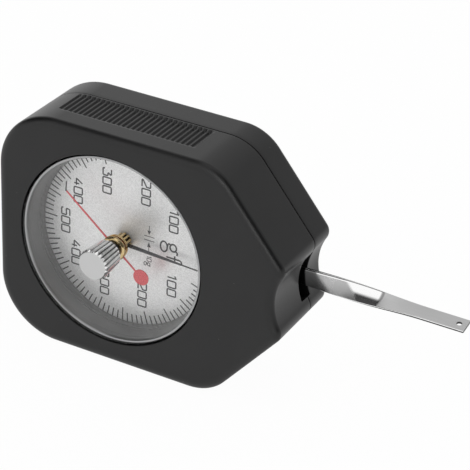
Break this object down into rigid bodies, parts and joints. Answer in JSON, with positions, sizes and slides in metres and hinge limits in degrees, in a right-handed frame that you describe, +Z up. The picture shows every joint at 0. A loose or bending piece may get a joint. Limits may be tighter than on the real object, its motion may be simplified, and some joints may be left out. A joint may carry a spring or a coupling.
{
  "type": "dial tension gauge",
  "caption": "Hand-held dial gauge that reads force on a twisted steel lever, with a live pointer, a drag pointer and a reset knob.",
  "frame": {"origin": "where the dial's axis meets the flat back of the case", "axes": "+X towards the lever's tip, +Y out of the flat back, away from the dial, +Z up with the gauge standing on its lower flat side"},
  "size_m": [0.1179, 0.0331, 0.062],
  "materials": {
    "case_plastic": "fine matte moulded texture",
    "clear_acrylic": "clear, polished",
    "dial_silver": "satin silver with printed scale",
    "knob_aluminium": "turned, satin",
    "brass": "turned, bright",
    "pointer_red": "satin red enamel",
    "pointer_black": "matte black",
    "lever_steel": "brushed along its length",
    "spring_steel": "blued strip",
    "screw_steel": "plain machined"
  },
  "bodies": {
    "case": {"front_shell": "case_plastic", "rear_cover": "case_plastic", "case_screw_1": "screw_steel", "case_screw_2": "screw_steel", "case_screw_3": "screw_steel", "case_screw_4": "screw_steel", "lens": "clear_acrylic", "lens_bush": "brass", "friction_washer": "spring_steel", "dial_plate": "dial_silver", "front_plate": "brass", "rear_plate": "brass", "pillar_1": "brass", "pillar_2": "brass", "pillar_3": "brass", "front_plate_screw_1": "screw_steel", "front_plate_screw_2": "screw_steel", "front_plate_screw_3": "screw_steel", "rear_plate_screw_1": "screw_steel", "rear_plate_screw_2": "screw_steel", "rear_plate_screw_3": "screw_steel", "arbor_front_bush": "brass", "arbor_rear_bush": "brass", "axle_front_bush": "brass", "axle_rear_bush": "brass", "stop_pin_1": "screw_steel", "stop_pin_2": "screw_steel", "main_spring": "spring_steel", "main_spring_stud": "brass", "hairspring": "spring_steel", "hairspring_stud": "brass"},
    "lever": {"lever": "lever_steel", "lever_axle": "lever_steel", "lever_hub": "brass", "lever_clamp": "screw_steel", "lever_rivet_1": "screw_steel", "lever_rivet_2": "screw_steel", "sector_gear": "brass", "main_spring_collet": "brass"},
    "pointer": {"live_pointer": "pointer_black", "pointer_hub": "brass", "pinion_arbor": "lever_steel", "hairspring_collet": "brass"},
    "reset": {"reset_knob": "knob_aluminium", "knob_spindle": "screw_steel", "drag_hub": "brass", "drag_pointer": "pointer_red", "drag_collar": "brass"}
  },
  "joints": [
    {"name": "lever_swing", "type": "hinge", "parent": "case", "child": "lever", "pos_m": [0.031, 0, 0], "axis": [0, 1, 0], "range_deg": [-12, 12], "stiffness_Nm_per_rad": 1.3},
    {"name": "pointer_turn", "type": "hinge", "parent": "case", "child": "pointer", "pos_m": [0, 0, 0], "axis": [0, 1, 0], "range_deg": [-180, 180]},
    {"name": "reset_knob_turn", "type": "hinge", "parent": "case", "child": "reset", "pos_m": [0, 0, 0], "axis": [0, 1, 0], "continuous": true}
  ],
  "couplings": [
    {"joint": "pointer_turn", "follows": "lever_swing", "ratio": -15}
  ]
}
